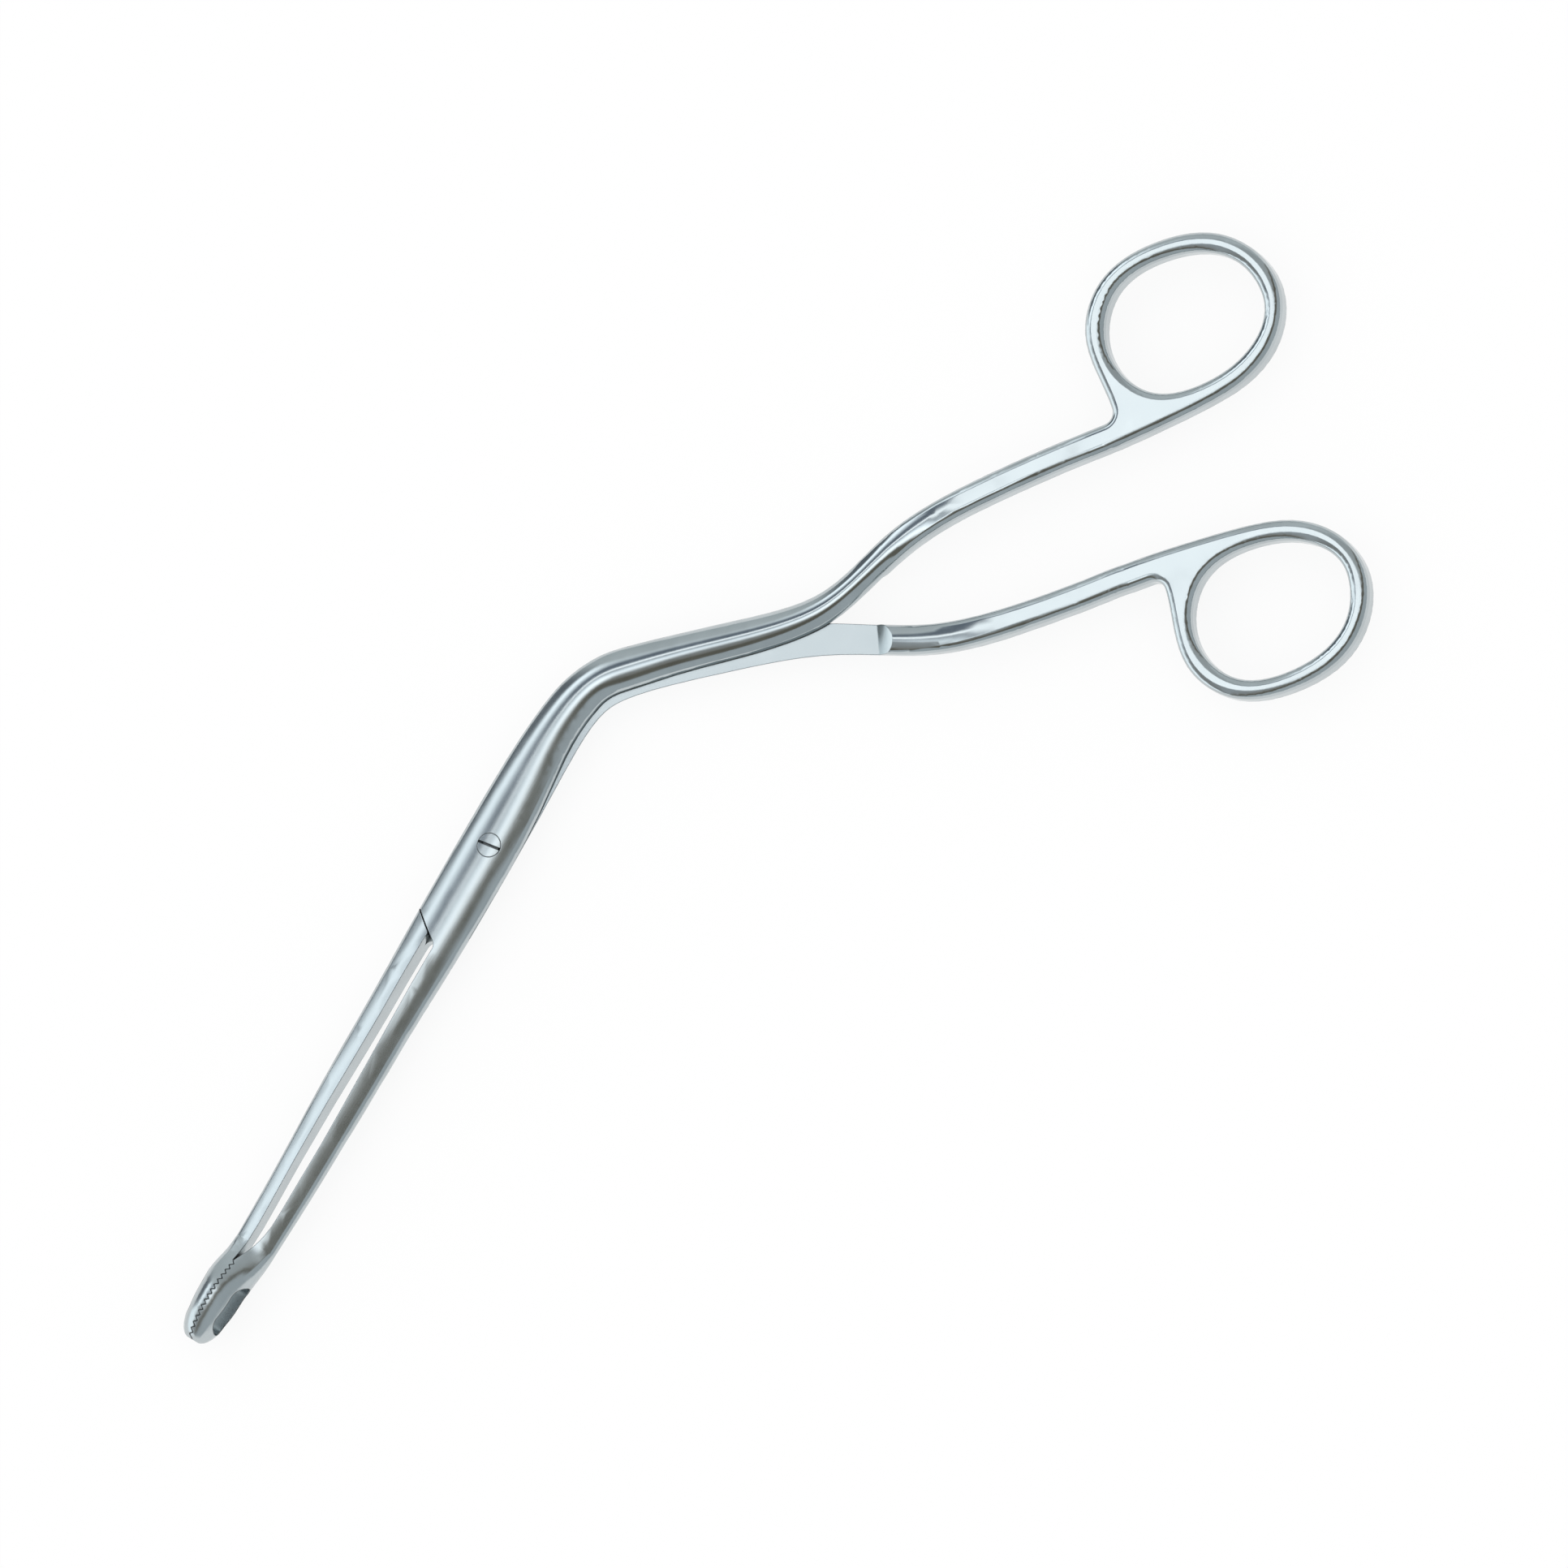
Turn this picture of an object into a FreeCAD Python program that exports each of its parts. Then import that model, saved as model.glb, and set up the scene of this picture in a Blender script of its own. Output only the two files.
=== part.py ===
import FreeCAD, Part
import math
import os

# Magill forceps, adult size, jaws closed. Millimetres. The pivot axis is Z, the lap plane is
# z = 0, +X runs from the pivot along the closed jaws to the tips, and both handles bend to +Y.
V = FreeCAD.Vector

# Overall driving sizes
body_thick = 4.6
corner_round = 1.3
lap_clear = 0.06
tooth_clear = 0.13

# Handle frame: u runs back along the line between the two rings, v across it
handle_angle = 140.0
handle_offset = 17.82
shank_offset = 12.5
shank_width = 4.7
ring_u = 143.6
ring_v = 26.6
ring_toe = {1: 1.5, -1: 0.0}
hole_radii = (14.4, 12.85, 11.6, 13.4, 14.25, 13.4, 11.5, 12.7)
web_length = 22.6
crotch_back = 16.9
crotch_round = 2.1
ring_outline = (
    (-120, 18.5), (-90, 15.25), (-60, 15.6), (-30, 17.05), (0, 17.85),
    (45, 16.35), (90, 14.95), (135, 16.95), (165, 17.8), (190, 17.75),
)

# Rail of each half: centre x, centre y and half width in the plan view
arm_rail = (
    (79.3, 0.95, 3.87), (70.0, 0.92, 4.1), (58.0, 0.65, 4.42), (46.0, 0.35, 4.7),
    (34.0, 0.12, 4.82), (22.0, -0.06, 5.12), (10.0, -0.3, 5.3), (-2.0, -0.62, 5.3),
)
front_rail = (
    (-13.0, -1.17, 4.88), (-22.0, -1.5, 4.25), (-29.4, -0.75, 3.95), (-33.9, 0.75, 3.75),
    (-37.6, 3.6, 3.75), (-44.5, 10.3, 3.45), (-51.2, 17.35, 3.3), (-58.3, 24.5, 3.0),
    (-64.4, 29.1, 2.7), (-70.8, 31.7, 2.45), (-80.1, 34.4, 2.45), (-88.6, 38.4, 2.35),
    (-96.6, 43.6, 2.35), (-104.2, 49.1, 2.35),
)
back_rail = (
    (-13.0, -0.9, 5.15), (-22.0, -0.6, 4.5), (-28.8, 0.1, 4.2), (-32.9, 1.6, 4.0),
    (-36.6, 4.4, 3.75), (-43.3, 11.3, 3.45), (-49.9, 18.6, 3.4), (-55.2, 25.0, 3.2),
    (-60.0, 32.0, 2.8), (-64.8, 40.6, 2.6), (-69.8, 49.1, 2.55), (-76.3, 56.6, 2.45),
    (-83.6, 63.3, 2.35), (-90.9, 69.4, 2.35),
)
arm_thick = 3.4
taper_from = 10.0
taper_to = 90.0
side_flat_min = 0.12
facet_from_u = 55.0
facet_to_u = 100.0
station_step = 5.0

# Gap between the arms: inner edge of each arm, x and distance from the closing plane
front_gap = ((22.0, 0.95), (34.0, 1.27), (47.0, 1.7), (60.0, 2.1), (71.0, 2.15), (78.0, 1.7))
back_gap = ((22.0, 1.25), (34.0, 0.98), (47.0, 0.9), (60.0, 0.7), (71.0, 0.3), (78.0, 0.12))
heel_x = 83.5

# Lap shoulder on the jaw side: where its line crosses the middle, its angle and its corner round
shoulder_x = 18.77
shoulder_angle = 56.3
shoulder_round = 1.7
riser_round = 0.6
shoulder_clear = 0.22
lap_overlap_x = -10.0

# Jaws, closed pair: x, centre y, half width, half height and squareness, where 2 is an ellipse
jaw_rail = (
    (98.75, 0.0, 1.2, 1.2, 2.0), (97.8, 0.0, 2.4, 2.5, 2.0), (96.0, 0.0, 3.15, 3.65, 2.0),
    (93.5, 0.0, 3.6, 4.5, 2.0), (90.5, 0.0, 3.85, 4.8, 2.0), (87.5, 0.02, 3.93, 4.35, 2.1),
    (84.6, 0.35, 3.95, 3.2, 2.3), (82.2, 0.75, 3.88, 2.25, 2.6), (80.7, 0.88, 3.87, 1.86, 2.8),
)
crown_share = 42.0
side_share = 5.0
window_x = 91.2
window_length = 9.8
window_height = 5.8
tooth_pitch = 1.04
tooth_depth = 0.62
tooth_count = 15

# Lap step on the handle side: u and v where the lap plane ends, its turn and its rise
step_place = {1: (78.5, 7.1), -1: (75.5, -7.1)}
step_turn = 12.0
step_rise_angle = 36.0

# Pivot screw
head_radius = 2.05
head_rim = 0.45
head_depth = 1.3
shaft_radius = 1.3
running_clear = 0.05
thread_clear = 0.02
slot_width = 0.4
slot_depth = 0.95
slot_angle = 99.0

# How far the cutting regions reach past the metal
reach = 4 * body_thick


def handle_point(u, v, z=0.0):
    """Point at u, v of the handle frame, v measured from the line between the rings."""
    a = math.radians(handle_angle)
    w = v + handle_offset
    return V(u * math.cos(a) - w * math.sin(a), u * math.sin(a) + w * math.cos(a), z)


def ring_point(side, u, v, z=0.0):
    """Point of the ring unit, turned by the toe angle about the ring centre."""
    t = math.radians(ring_toe[side])
    du = u - ring_u
    dv = v - ring_v
    uu = ring_u + du * math.cos(t) - dv * math.sin(t)
    vv = ring_v + du * math.sin(t) + dv * math.cos(t)
    return handle_point(uu, side * vv, z)


def spline(points, start=None, end=None):
    curve = Part.BSplineCurve()
    if start is None:
        curve.interpolate(points)
    else:
        curve.interpolate(Points=points, InitialTangent=start, FinalTangent=end)
    return curve


def extrude(edges, z0, z1):
    face = Part.Face(Part.Wire(edges))
    face.translate(V(0, 0, z0))
    return face.extrude(V(0, 0, z1 - z0))


def polyline(points):
    return [Part.LineSegment(a, b).toShape() for a, b in zip(points[:-1], points[1:])]


def curve_of(a, b, c):
    """Arc through three points, or the straight line where they are in line."""
    if ((b - a).cross(c - a)).Length < 1e-6:
        return Part.LineSegment(a, c).toShape()
    return Part.Arc(a, b, c).toShape()


def section(centre, across, crown, end, corner, side, bulge):
    """Closed wire across a bar: crowns above and below, four corners and two sides."""

    def at(x, z):
        return centre + across * x + V(0, 0, z)

    corners = {}
    for sx, sz in ((1, 1), (1, -1), (-1, -1), (-1, 1)):
        corners[sx, sz] = curve_of(at(sx * end[0], sz * end[1]), at(sx * corner[0], sz * corner[1]),
                                   at(sx * side[0], sz * side[1]))
    sides = [curve_of(at(sx * side[0], side[1]), at(sx * bulge, 0), at(sx * side[0], -side[1]))
             for sx in (1, -1)]
    crowns = [curve_of(at(-end[0], sz * end[1]), at(0, sz * crown), at(end[0], sz * end[1]))
              for sz in (1, -1)]
    return Part.Wire([crowns[0], corners[1, 1], sides[0], corners[1, -1], crowns[1],
                      corners[-1, -1], sides[1], corners[-1, 1]])


def oval_section(centre, across, half_width, half_thick, side_flat):
    """Domed oval: crown arcs, corner arcs and a short flat on each side."""
    r = corner_round * half_thick / (body_thick / 2)
    inner = half_width - r
    rise = half_thick - side_flat
    if rise - r < 0.01:
        angle = 0.0
        end = (inner, half_thick)
    else:
        crown = (inner ** 2 + rise ** 2 - r ** 2) / (2 * (rise - r))
        angle = math.asin(inner / (crown - r))
        end = (crown * math.sin(angle), half_thick - crown * (1 - math.cos(angle)))
    middle = (angle + math.pi / 2) / 2
    corner = (inner + r * math.sin(middle), side_flat + r * math.cos(middle))
    return section(centre, across, half_thick, end, corner, (half_width, side_flat), half_width)


def jaw_section(x, y, half_width, half_height, squareness):
    """Closed pair of jaws cut across at x: an ellipse, or a squarer oval towards the arms."""

    def on(degrees):
        c = math.cos(math.radians(degrees)) ** (2 / squareness)
        s = math.sin(math.radians(degrees)) ** (2 / squareness)
        return (half_width * c, half_height * s)

    end = on(90.0 - crown_share)
    corner = on((90.0 - crown_share + side_share) / 2)
    return section(V(x, y, 0), V(0, -1, 0), half_height, end, corner, on(side_share), half_width)


def smooth(x, x0, x1):
    t = min(1.0, max(0.0, (x - x0) / (x1 - x0)))
    return t * t * (3 - 2 * t)


def half_body(side):
    """Arm, joint, lap bend and shank of one half as one loft along its rail, with the jaws."""
    rail = arm_rail + (front_rail if side > 0 else back_rail)
    points = [V(*p) for p in rail]
    web_u = ring_u - web_length
    for u in (web_u - shank_width, web_u):
        p = ring_point(side, u, shank_offset)
        points.append(V(p.x, p.y, shank_width / 2))
    start = points[1] - points[0]
    end = points[-1] - points[-2]
    curve = spline(points, start.normalize(), end.normalize())
    count = int(round(curve.length() / station_step))
    a = math.radians(handle_angle)
    wires = []
    for i in range(count + 1):
        t = curve.parameterAtDistance(curve.length() * i / count)
        p = curve.value(t)
        d = curve.tangent(t)[0]
        d = V(d.x, d.y, 0)
        d.normalize()
        across = V(-d.y, d.x, 0)
        u = p.x * math.cos(a) + p.y * math.sin(a)
        half = body_thick / 2 - (body_thick - arm_thick) / 2 * smooth(p.x, taper_from, taper_to)
        full = half - corner_round * half * 2 / body_thick
        flat = side_flat_min + (full - side_flat_min) * smooth(u, facet_from_u, facet_to_u)
        if i == count:
            p = points[-1]
            across = ring_point(side, 0, side) - ring_point(side, 0, 0)
            across.normalize()
            flat = full
        wires.append(oval_section(V(p.x, p.y, 0), across, p.z, half, flat))
    jaws = [jaw_section(*values) for values in jaw_rail] + [wires[0]]
    return Part.makeLoft(wires, True, False).fuse(Part.makeLoft(jaws, True, False))


def ring_unit(side):
    """Finger ring with its web and the last straight length of shank."""
    half = body_thick / 2

    def at(u, v):
        return ring_point(side, u, v, -half)

    web_u = ring_u - web_length
    crotch_u = ring_u - crotch_back
    near = shank_offset - shank_width / 2
    far = shank_offset + shank_width / 2
    fillet_a = at(crotch_u, far + crotch_round)
    fillet_b = at(crotch_u - crotch_round, far)
    s = crotch_round * (1 - math.sqrt(0.5))
    fillet_mid = at(crotch_u - s, far + s)
    outline = [at(web_u + shank_width / 2, near)]
    for angle, r in ring_outline:
        f = math.radians(angle)
        outline.append(at(ring_u + r * math.cos(f), ring_v + r * math.sin(f)))
    outline.append(fillet_a)
    along = at(1, 0) - at(0, 0)
    down = at(0, -1) - at(0, 0)
    edges = [
        Part.LineSegment(at(web_u, near), outline[0]).toShape(),
        spline(outline, along, down).toShape(),
        Part.Arc(fillet_a, fillet_mid, fillet_b).toShape(),
        Part.LineSegment(fillet_b, at(web_u, far)).toShape(),
        Part.LineSegment(at(web_u, far), at(web_u, near)).toShape(),
    ]
    hole = Part.BSplineCurve()
    rim = []
    for i, r in enumerate(hole_radii):
        f = math.radians(45 * i)
        rim.append(at(ring_u + r * math.cos(f), ring_v + r * math.sin(f)))
    hole.interpolate(Points=rim, PeriodicFlag=True)
    plate = extrude(edges, 0.0, body_thick)
    solid = plate.cut(extrude([hole.toShape()], 0.0, body_thick))
    start_mid = at(web_u, shank_offset)
    edges = []
    for e in solid.Edges:
        m = e.valueAt((e.FirstParameter + e.LastParameter) / 2)
        flat = abs(abs(m.z) - half) < 1e-6
        if flat and V(m.x - start_mid.x, m.y - start_mid.y, 0).Length > 0.01:
            edges.append(e)
    return solid.makeFillet(corner_round, edges)


def tooth_points(side):
    """Zigzag of the serrations from the heel to beyond the tips, on its own side."""
    points = []
    for i in range(2 * tooth_count + 1):
        y = tooth_depth / 2 if i % 2 else -tooth_depth / 2
        points.append(V(heel_x + i * tooth_pitch / 2, side * y + tooth_clear / 2, 0))
    return points


def mirrored(edges, side):
    """Plan edges drawn for the +Y half, turned over for the other half."""
    if side > 0:
        return edges
    return [e.mirror(V(0, 0, 0), V(0, 1, 0)) for e in edges]


def arm_gap_tool(side):
    """Room between the arms and behind the serrations of one half."""
    gap = front_gap if side > 0 else back_gap
    teeth = tooth_points(side)
    curve = [V(x, y, 0) for x, y in gap] + [teeth[0]]
    fall = (teeth[0] - curve[-2]).normalize()
    edges = [spline(curve, V(1, 0, 0), fall).toShape()]
    tail = jaw_rail[0][0] + reach
    ends = [V(tail, teeth[-1].y, 0), V(tail, -reach, 0), V(gap[0][0], -reach, 0), curve[0]]
    edges += polyline(teeth + ends)
    return extrude(mirrored(edges, side), -reach, reach)


def rounded(corner, back_along, radius, turn):
    """Round of a shoulder corner: its start, middle and end points."""
    length = radius * math.tan(math.radians(shoulder_angle) / 2)
    first = corner + back_along * length
    last = corner + V(length, 0, 0)
    centre = last + V(0, turn * radius, 0)
    middle = centre + (corner - centre).normalize() * radius
    return first, middle, last


def shoulder_tool(side):
    """Room beyond the shoulder of one half's own lap plate, for the other half's arm."""
    gap = front_gap[0] if side > 0 else back_gap[0]
    a = math.radians(shoulder_angle)
    slope = 1 / math.tan(a)
    corner = V(shoulder_x + gap[1] * slope, gap[1], 0)
    first, middle, last = rounded(corner, V(-math.cos(a), -math.sin(a), 0), shoulder_round, -1)
    edges = [Part.Arc(first, middle, last).toShape()]
    edges += polyline([last, V(gap[0], gap[1], 0), V(gap[0] + arm_thick, -arm_thick, 0),
                       V(gap[0] + arm_thick, -reach, 0), V(shoulder_x - reach * slope, -reach, 0), first])
    edges = mirrored(edges, side)
    if side > 0:
        return extrude(edges, lap_clear / 2, reach)
    return extrude(edges, -reach, -lap_clear / 2)


def lap_tool(side):
    """Room for the other half's lap plate at the joint, from the riser of the arm backwards."""
    gap = front_gap[0] if side > 0 else back_gap[0]
    a = math.radians(shoulder_angle)
    slope = 1 / math.tan(a)
    riser_x = shoulder_x + shoulder_clear / math.sin(a)
    corner = V(riser_x - gap[1] * slope, gap[1], 0)
    first, middle, last = rounded(corner, V(-math.cos(a), math.sin(a), 0), riser_round, 1)
    edges = [Part.Arc(first, middle, last).toShape()]
    edges += polyline([last, V(gap[0], gap[1], 0), V(gap[0] + arm_thick, -arm_thick, 0),
                       V(gap[0] + arm_thick, -reach, 0), V(lap_overlap_x, -reach, 0),
                       V(lap_overlap_x, reach, 0), V(riser_x - reach * slope, reach, 0), first])
    edges = mirrored(edges, side)
    if side > 0:
        return extrude(edges, -reach, lap_clear / 2)
    return extrude(edges, -lap_clear / 2, reach)


def step_tool(side):
    """Rest of that room, through the bend to the step where the shank is whole again."""
    level = side * lap_clear / 2
    outer = -side * reach
    run = abs(outer - level) / math.tan(math.radians(step_rise_angle))
    u, v = step_place[side]
    profile = polyline([V(-u, 0, level), V(0, 0, level), V(run, 0, outer), V(-u, 0, outer),
                        V(-u, 0, level)])
    face = Part.Face(Part.Wire(profile))
    tool = face.extrude(V(0, 4 * reach, 0))
    tool.translate(V(0, -2 * reach, 0))
    tool.rotate(V(0, 0, 0), V(0, 0, 1), handle_angle + side * step_turn)
    tool.translate(handle_point(u, v))
    return tool


def jaw_window():
    """Oval window through both jaws."""
    r = window_height / 2
    x0 = window_x - window_length / 2 + r
    x1 = window_x + window_length / 2 - r

    def at(x, z):
        return V(x, -reach, z)

    edges = [
        Part.LineSegment(at(x0, r), at(x1, r)).toShape(),
        Part.Arc(at(x1, r), at(x1 + r, 0), at(x1, -r)).toShape(),
        Part.LineSegment(at(x1, -r), at(x0, -r)).toShape(),
        Part.Arc(at(x0, -r), at(x0 - r, 0), at(x0, r)).toShape(),
    ]
    return Part.Face(Part.Wire(edges)).extrude(V(0, 2 * reach, 0))


def screw_form(clear, z0, z1):
    """Countersunk screw about Z, larger all round by the clearance."""
    top = body_thick / 2
    head = head_radius + clear
    shaft = shaft_radius + clear
    profile = [
        V(0, 0, z0), V(shaft, 0, z0), V(shaft, 0, top - head_depth - clear),
        V(head, 0, top - head_rim - clear), V(head, 0, z1), V(0, 0, z1), V(0, 0, z0),
    ]
    return Part.Face(Part.Wire(polyline(profile))).revolve(V(0, 0, 0), V(0, 0, 1), 360)


def pivot_screw(blank):
    """Screw cut flush with the domed joint, with its driver slot."""
    screw = screw_form(0.0, -reach, reach).common(blank)
    slot = Part.makeBox(4 * head_radius, slot_width, reach)
    slot.translate(V(-2 * head_radius, -slot_width / 2, body_thick / 2 - slot_depth))
    slot.rotate(V(0, 0, 0), V(0, 0, 1), slot_angle)
    return screw.cut(slot)


def half(side):
    """One half of the forceps, from its jaw to its finger ring."""
    solid = half_body(side).fuse(ring_unit(side))
    for tool in (arm_gap_tool(side), shoulder_tool(side), lap_tool(side), step_tool(side),
                 jaw_window()):
        solid = solid.cut(tool)
    if side > 0:
        solid = solid.cut(screw_form(running_clear, -reach, reach))
    else:
        hole = Part.makeCylinder(shaft_radius + thread_clear, 2 * reach, V(0, 0, -reach))
        solid = solid.cut(hole)
    return solid


def main():
    os.makedirs("parts", exist_ok=True)
    half(1).exportStep("parts/front_half.step")
    half(-1).exportStep("parts/back_half.step")
    pivot_screw(half_body(1)).exportStep("parts/pivot_screw.step")


main()
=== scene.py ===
import bpy
import math
import numpy as np
from mathutils import Matrix, Vector
from mathutils.kdtree import KDTree


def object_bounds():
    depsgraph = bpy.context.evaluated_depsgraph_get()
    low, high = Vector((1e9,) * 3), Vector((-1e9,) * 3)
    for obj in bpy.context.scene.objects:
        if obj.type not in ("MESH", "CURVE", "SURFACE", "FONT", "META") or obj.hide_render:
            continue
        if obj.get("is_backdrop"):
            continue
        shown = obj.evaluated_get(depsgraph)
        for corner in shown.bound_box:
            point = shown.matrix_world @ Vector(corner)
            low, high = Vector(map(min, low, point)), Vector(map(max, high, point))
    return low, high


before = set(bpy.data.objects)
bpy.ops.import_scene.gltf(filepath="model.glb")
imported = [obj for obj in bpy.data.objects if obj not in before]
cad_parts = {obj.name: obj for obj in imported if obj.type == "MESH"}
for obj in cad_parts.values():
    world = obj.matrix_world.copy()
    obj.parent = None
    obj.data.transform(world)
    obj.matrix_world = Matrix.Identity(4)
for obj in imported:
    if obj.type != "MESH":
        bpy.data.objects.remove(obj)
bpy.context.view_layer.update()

# View: scale and size of the photograph, the pixel at which it shows the pivot, how far the
# camera leans towards +Y, and the way that +X runs in the picture
mm_per_pixel = 0.139
photo_pixels = 1932
pivot_pixel = (606.9, 1044.0)
tilt = math.radians(20.0)
jaw_direction = (-0.5200, 0.8542)
camera_distance = 1.0
camera_reach = 10.0

# Steel: colour, how much it varies in soft clouds, and the roughness of each finish. The satin
# comes in between two places along X, and the flat of the lap lies within lap_height of z = 0.
steel_colour = (0.5, 0.546, 0.562)
tint_range = (0.96, 1.03)
cloud_scale = 180.0
cloud_range = (0.35, 0.65)
roughness_spread = 0.10
polished_roughness = 0.12
satin_roughness = 0.23
satin_between = (-0.040, -0.018)
lap_roughness = 0.17
lap_height = (0.00012, 0.00006)

# Grain: waves per metre, depth, and its strength where the steel is polished
grain_along = 160.0
grain_across = 5200.0
grain_depth = 0.0000025
polished_grain = 0.25

# Edges: the radius that the light sees, which widens to that of the jaws between two places
# along X, and the painted shade line along them, between two cosines of the bend, and its
# darkness
edge_radius = 0.00018
jaw_edge_radius = 0.0003
jaws_between = (0.079, 0.082)
edge_bend = (0.84, 0.97)
edge_shade_tone = 0.22

# Painted shade in crevices: how far off a neighbour still darkens, between which openness, and
# how dark
crevice_reach = 0.0009
crevice_open = (0.28, 0.82)
crevice_shade_tone = 0.12

# Even normals, in millimetres: the area round the pivot and up to which x, the reach of the fit,
# the fewest points for it, and the cosine within which normals belong to one face
normal_round_pivot = 108.0
normal_to = 74.0
normal_reach = 2.2
normal_points = 9
normal_alike = 0.96

# Floor: its distance under the forceps, its size, and the share of its white that has no shadow
floor_drop = 0.0006
floor_size = 1.6
floor_glow = 0.85

# Panels that the steel mirrors: degrees from straight up towards +Y, and colour. The middle ones
# blend into the left ones towards the handles and into the tip ones towards the tips, where the
# X of the mirrored direction is within panel_turn. All three are the same from shared_from on.
panel_level = 1.12
panel_turn = (0.16, 0.36)
shared_from = 12
middle_panels = (
    (-100, (0.14, 0.16, 0.18)), (-61, (0.14, 0.16, 0.18)), (-54, (1.6, 1.7, 1.76)),
    (-47, (1.55, 1.64, 1.7)), (-33, (0.17, 0.2, 0.24)), (-23, (0.16, 0.19, 0.23)),
    (-21.6, (1.7, 1.74, 1.76)), (-18.4, (1.7, 1.74, 1.76)), (-17, (0.22, 0.25, 0.28)),
    (-10, (1.3, 1.38, 1.44)), (-4, (1.85, 1.9, 1.94)), (2, (1.4, 1.44, 1.46)),
    (8, (0.25, 0.24, 0.22)), (11, (0.14, 0.13, 0.105)), (24, (0.14, 0.13, 0.105)),
    (27, (0.46, 0.5, 0.52)), (170, (0.46, 0.5, 0.52)),
)
left_panels = (
    (-100, (0.5, 0.54, 0.55)), (-36, (0.6, 0.64, 0.65)), (-22, (0.44, 0.47, 0.48)),
    (2, (0.44, 0.46, 0.46)),
) + middle_panels[shared_from:]
tip_panels = (
    (-100, (1.3, 1.38, 1.42)), (-54, (1.3, 1.38, 1.42)), (-42, (0.36, 0.38, 0.39)),
    (-30, (0.26, 0.26, 0.25)), (-12, (0.42, 0.45, 0.47)),
) + middle_panels[shared_from:]
white = (1.0, 1.0, 1.0, 1.0)


def nodes_of(material):
    material.use_nodes = True
    tree = material.node_tree
    tree.nodes.clear()
    return tree


def add(tree, kind, **values):
    node = tree.nodes.new(kind)
    for name, value in values.items():
        setattr(node, name, value)
    return node


def math_node(tree, operation, a, b=None):
    node = add(tree, "ShaderNodeMath", operation=operation)
    for socket, value in zip(node.inputs, (a, b)):
        if value is None:
            continue
        if isinstance(value, (int, float)):
            socket.default_value = value
        else:
            tree.links.new(value, socket)
    return node.outputs[0]


def ramp(tree, factor, stops, interpolation="EASE"):
    """Colour ramp with stops of (position, grey or colour)."""
    node = add(tree, "ShaderNodeValToRGB")
    node.color_ramp.interpolation = interpolation
    elements = node.color_ramp.elements
    while len(elements) < len(stops):
        elements.new(0.5)
    for element, (position, colour) in zip(elements, stops):
        if isinstance(colour, (int, float)):
            colour = (colour, colour, colour)
        element.position = position
        element.color = (*colour, 1.0)
    tree.links.new(factor, node.inputs[0])
    return node.outputs[0]


def share_between(tree, value, span):
    """Smooth share that goes from 0 at the first value of span to 1 at the second."""
    node = add(tree, "ShaderNodeMapRange", interpolation_type="SMOOTHSTEP")
    tree.links.new(value, node.inputs["Value"])
    node.inputs["From Min"].default_value = span[0]
    node.inputs["From Max"].default_value = span[1]
    return node.outputs[0]


def times(tree, colour, share, tone):
    """Colour times a grey that goes from tone at share 0 to 1 at share 1."""
    node = add(tree, "ShaderNodeMixRGB", blend_type="MULTIPLY")
    node.inputs[0].default_value = 1.0
    tree.links.new(colour, node.inputs[1])
    tree.links.new(ramp(tree, share, ((0.0, tone), (1.0, 1.0)), "LINEAR"), node.inputs[2])
    return node.outputs[0]


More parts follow.
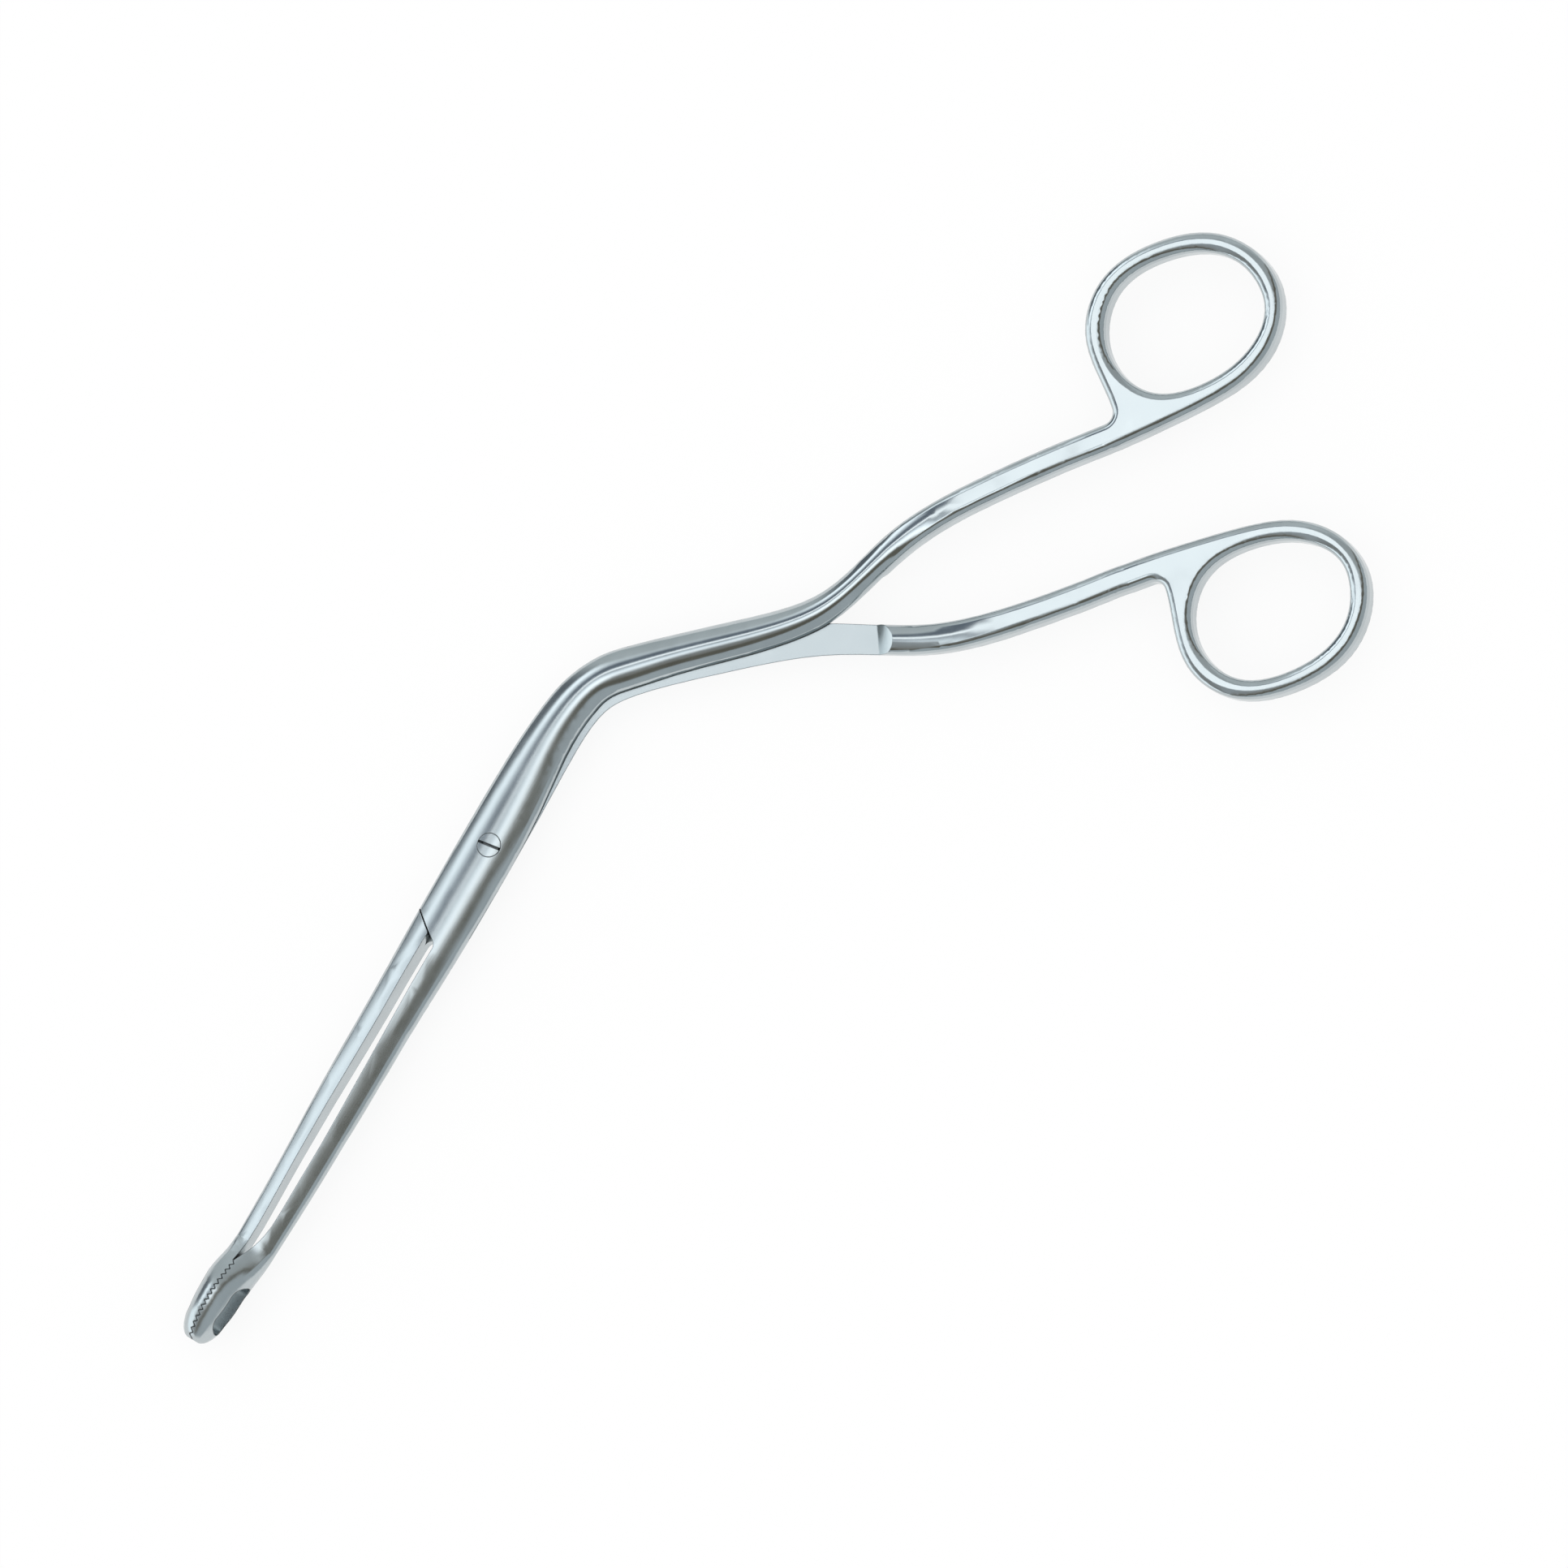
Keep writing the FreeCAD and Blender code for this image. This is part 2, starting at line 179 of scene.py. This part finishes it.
def steel(name):
    """Stainless steel: satin with a fine lengthwise grain towards the jaws, polished behind,
    with painted shade in crevices and along edges.
    """
    material = bpy.data.materials.new(name)
    tree = nodes_of(material)
    link = tree.links.new
    out = add(tree, "ShaderNodeOutputMaterial")
    shader = add(tree, "ShaderNodeBsdfPrincipled")
    link(shader.outputs[0], out.inputs[0])
    place = add(tree, "ShaderNodeTexCoord").outputs["Object"]
    split = add(tree, "ShaderNodeSeparateXYZ")
    link(place, split.inputs[0])
    satin = share_between(tree, split.outputs["X"], satin_between)
    stretch = add(tree, "ShaderNodeMapping")
    stretch.inputs["Scale"].default_value = (grain_along, grain_across, grain_across)
    link(place, stretch.inputs[0])
    grain = add(tree, "ShaderNodeTexNoise")
    grain.inputs["Scale"].default_value = 1.0
    grain.inputs["Detail"].default_value = 3.0
    link(stretch.outputs[0], grain.inputs["Vector"])
    cloud = add(tree, "ShaderNodeTexNoise")
    cloud.inputs["Scale"].default_value = cloud_scale
    cloud.inputs["Detail"].default_value = 4.0
    link(place, cloud.inputs["Vector"])

    centred = math_node(tree, "SUBTRACT", cloud.outputs[0], 0.5)
    uneven = math_node(tree, "MULTIPLY", centred, roughness_spread)
    step = math_node(tree, "MULTIPLY", satin, satin_roughness - polished_roughness)
    rough = math_node(tree, "ADD", step, polished_roughness)
    height = math_node(tree, "ABSOLUTE", split.outputs["Z"])
    lap = math_node(tree, "MULTIPLY", share_between(tree, height, lap_height), lap_roughness)
    rough = math_node(tree, "MAXIMUM", rough, lap)
    link(math_node(tree, "ADD", rough, uneven), shader.inputs["Roughness"])

    jaws = share_between(tree, split.outputs["X"], jaws_between)
    wider = math_node(tree, "MULTIPLY", jaws, jaw_edge_radius - edge_radius)
    edge = add(tree, "ShaderNodeBevel", samples=6)
    link(math_node(tree, "ADD", wider, edge_radius), edge.inputs["Radius"])
    bend = add(tree, "ShaderNodeVectorMath", operation="DOT_PRODUCT")
    link(edge.outputs[0], bend.inputs[0])
    link(add(tree, "ShaderNodeNewGeometry").outputs["Normal"], bend.inputs[1])
    smooth = share_between(tree, bend.outputs["Value"], edge_bend)
    crevice = add(tree, "ShaderNodeAmbientOcclusion", samples=8)
    crevice.inputs["Distance"].default_value = crevice_reach
    openness = share_between(tree, crevice.outputs["AO"], crevice_open)

    colour = ramp(tree, cloud.outputs[0], [
        (position, tuple(c * tint for c in steel_colour))
        for position, tint in zip(cloud_range, tint_range)
    ])
    # painted shade: the steel's colour is darker in crevices and in gaps between parts, where
    # neighbours are close
    colour = times(tree, colour, openness, crevice_shade_tone)
    # painted shade: a dark line along edges, where the rounded normal bends away from the face
    colour = times(tree, colour, smooth, edge_shade_tone)
    link(colour, shader.inputs["Base Color"])
    shader.inputs["Metallic"].default_value = 1.0

    bump = add(tree, "ShaderNodeBump")
    link(edge.outputs[0], bump.inputs["Normal"])
    bump.inputs["Distance"].default_value = grain_depth
    strength = math_node(tree, "MULTIPLY", satin, 1.0 - polished_grain)
    link(math_node(tree, "ADD", strength, polished_grain), bump.inputs["Strength"])
    link(grain.outputs[0], bump.inputs["Height"])
    link(bump.outputs[0], shader.inputs["Normal"])
    return material


def even_normals(mesh):
    """Normals that follow the curved steel through the points round each point of the mesh."""
    count = len(mesh.vertices)
    points = np.zeros(count * 3)
    mesh.vertices.foreach_get("co", points)
    points = points.reshape(-1, 3) * 1000.0
    corners = np.zeros(len(mesh.loops), int)
    mesh.loops.foreach_get("vertex_index", corners)
    packed = np.zeros(len(mesh.loops) * 3)
    mesh.corner_normals.foreach_get("vector", packed)
    normals = np.zeros((count, 3))
    np.add.at(normals, corners, packed.reshape(-1, 3))
    normals /= np.maximum(np.linalg.norm(normals, axis=1, keepdims=True), 1e-9)
    tree = KDTree(count)
    for i, p in enumerate(points):
        tree.insert(p, i)
    tree.balance()
    result = normals.copy()
    inside = np.hypot(points[:, 0], points[:, 1]) < normal_round_pivot
    for i in np.flatnonzero(inside & (points[:, 0] < normal_to)):
        p, n = points[i], normals[i]
        near = np.array([k for _, k, _ in tree.find_range(p, normal_reach)])
        near = near[normals[near] @ n > normal_alike]
        if len(near) < normal_points:
            continue
        u = np.cross(n, (1.0, 0.0, 0.0) if abs(n[0]) < 0.7 else (0.0, 1.0, 0.0))
        u /= np.linalg.norm(u)
        v = np.cross(n, u)
        d = points[near] - p
        a, b, h = d @ u, d @ v, d @ n
        weight = np.exp(-(a * a + b * b) / (0.5 * normal_reach ** 2))
        terms = np.stack((np.ones(len(near)), a, b, a * a, a * b, b * b), axis=1)
        fit = np.linalg.lstsq(terms * weight[:, None], h * weight, rcond=1e-4)[0]
        turned = n - fit[1] * u - fit[2] * v
        turned /= np.linalg.norm(turned)
        if turned @ n > normal_alike:
            result[i] = turned
    mesh.normals_split_custom_set_from_vertices(result.tolist())


def finish_node(node, material):
    """One material on every face of a CAD piece."""
    node.data.materials.clear()
    node.data.materials.append(material)
    for face in node.data.polygons:
        face.material_index = 0


def studio():
    """White surroundings, and the bright and dark panels of a studio that the steel mirrors."""
    world = bpy.data.worlds.new("studio")
    bpy.context.scene.world = world
    world.use_nodes = True
    tree = world.node_tree
    tree.nodes.clear()
    link = tree.links.new
    way = add(tree, "ShaderNodeSeparateXYZ")
    link(add(tree, "ShaderNodeTexCoord").outputs["Generated"], way.inputs[0])
    angle = math_node(tree, "ARCTAN2", way.outputs["Y"], way.outputs["Z"])
    factor = math_node(tree, "ADD", math_node(tree, "DIVIDE", angle, math.radians(360.0)), 0.5)
    middle, left, tip = (
        ramp(tree, factor, [
            ((degrees + 180.0) / 360.0, tuple(c * panel_level for c in colour))
            for degrees, colour in stops
        ], "LINEAR")
        for stops in (middle_panels, left_panels, tip_panels)
    )
    shown = middle
    for side, turned in ((-1, left), (1, tip)):
        blend = add(tree, "ShaderNodeMixRGB")
        turn = math_node(tree, "MULTIPLY", way.outputs["X"], side)
        link(share_between(tree, turn, panel_turn), blend.inputs[0])
        link(shown, blend.inputs[1])
        link(turned, blend.inputs[2])
        shown = blend.outputs[0]
    mirrored = add(tree, "ShaderNodeBackground")
    link(shown, mirrored.inputs["Color"])
    plain = add(tree, "ShaderNodeBackground")
    plain.inputs["Color"].default_value = white
    mix = add(tree, "ShaderNodeMixShader")
    link(add(tree, "ShaderNodeLightPath").outputs["Is Glossy Ray"], mix.inputs[0])
    link(plain.outputs[0], mix.inputs[1])
    link(mirrored.outputs[0], mix.inputs[2])
    out = add(tree, "ShaderNodeOutputWorld")
    link(mix.outputs[0], out.inputs[0])


def floor():
    """White table under the forceps, which shows their soft shadow."""
    low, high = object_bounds()
    middle = (low + high) / 2
    half = floor_size / 2
    z = low.z - floor_drop
    mesh = bpy.data.meshes.new("floor")
    signs = ((-1, -1), (1, -1), (1, 1), (-1, 1))
    corners = [(middle.x + a * half, middle.y + b * half, z) for a, b in signs]
    mesh.from_pydata(corners, [], [(0, 1, 2, 3)])
    table = bpy.data.objects.new("floor", mesh)
    bpy.context.scene.collection.objects.link(table)
    material = bpy.data.materials.new("white_table")
    tree = nodes_of(material)
    link = tree.links.new
    out = add(tree, "ShaderNodeOutputMaterial")
    seen = add(tree, "ShaderNodeLightPath")
    matt = add(tree, "ShaderNodeBsdfDiffuse")
    matt.inputs["Color"].default_value = white
    glow = add(tree, "ShaderNodeEmission")
    glow.inputs["Color"].default_value = white
    glow.inputs["Strength"].default_value = 1.0
    glossy, through = seen.outputs["Is Glossy Ray"], seen.outputs["Is Transmission Ray"]
    mirrored = math_node(tree, "MAXIMUM", glossy, through)
    straight = math_node(tree, "MAXIMUM", seen.outputs["Is Camera Ray"], mirrored)
    mix = add(tree, "ShaderNodeMixShader")
    link(math_node(tree, "MULTIPLY", straight, floor_glow), mix.inputs[0])
    link(matt.outputs[0], mix.inputs[1])
    link(glow.outputs[0], mix.inputs[2])
    link(mix.outputs[0], out.inputs[0])
    mesh.materials.append(material)
    table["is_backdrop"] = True


def camera():
    """Camera at the photograph's angle, above the joint and tilted towards the handles' side."""
    data = bpy.data.cameras.new("camera")
    data.type = "ORTHO"
    data.ortho_scale = photo_pixels * mm_per_pixel / 1000.0
    data.clip_end = camera_reach
    cam = bpy.data.objects.new("camera", data)
    bpy.context.scene.collection.objects.link(cam)
    along_x, along_y = jaw_direction
    across = Vector((0.0, math.cos(tilt), -math.sin(tilt)))
    right = Vector((along_x, 0.0, 0.0)) + across * along_y
    up = Vector((-along_y, 0.0, 0.0)) + across * along_x
    back = right.cross(up)
    dx = (photo_pixels / 2 - pivot_pixel[0]) * mm_per_pixel / 1000.0
    dy = (photo_pixels / 2 - pivot_pixel[1]) * mm_per_pixel / 1000.0
    place = right * dx - up * dy + back * camera_distance
    cam.matrix_world = Matrix((
        (right.x, up.x, back.x, place.x),
        (right.y, up.y, back.y, place.y),
        (right.z, up.z, back.z, place.z),
        (0.0, 0.0, 0.0, 1.0),
    ))
    bpy.context.scene.camera = cam


steel_halves = steel("steel_halves")
steel_screw = steel("steel_screw")
finish_node(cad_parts["front_half"], steel_halves)
finish_node(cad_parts["back_half"], steel_halves)
finish_node(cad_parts["pivot_screw"], steel_screw)
even_normals(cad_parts["front_half"].data)
even_normals(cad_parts["back_half"].data)
studio()
floor()
camera()
bpy.context.scene.view_settings.view_transform = "Standard"
